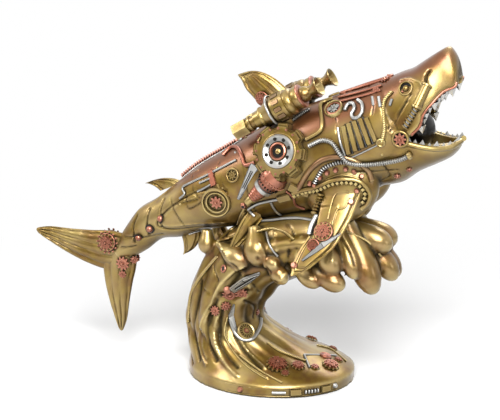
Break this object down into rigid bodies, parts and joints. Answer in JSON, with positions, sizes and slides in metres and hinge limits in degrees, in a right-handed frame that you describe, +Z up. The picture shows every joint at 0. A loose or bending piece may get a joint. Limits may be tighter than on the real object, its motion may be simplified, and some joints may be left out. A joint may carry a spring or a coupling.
{
  "type": "resin figurine",
  "caption": "Cast resin figurine of a clockwork shark leaping over a curling wave on an oval foot, with fins, gas tanks, gears and an open toothed mouth; stands on a shelf.",
  "frame": {"origin": "middle of the foot's flat underside", "axes": "+X the way the nose points, +Y across the shark to its left, +Z up from the foot"},
  "size_m": [0.313, 0.1166, 0.242],
  "materials": {
    "gold_resin": "cold-cast resin painted antique gold with a dark wash in the recesses",
    "copper_paint": "copper paint on the resin: gears, pipes, the back and the snout",
    "silver_paint": "silver paint on the resin: hoses, rings, rods and teeth"
  },
  "bodies": {
    "root": {"shark_figurine": "gold_resin"}
  },
  "joints": []
}
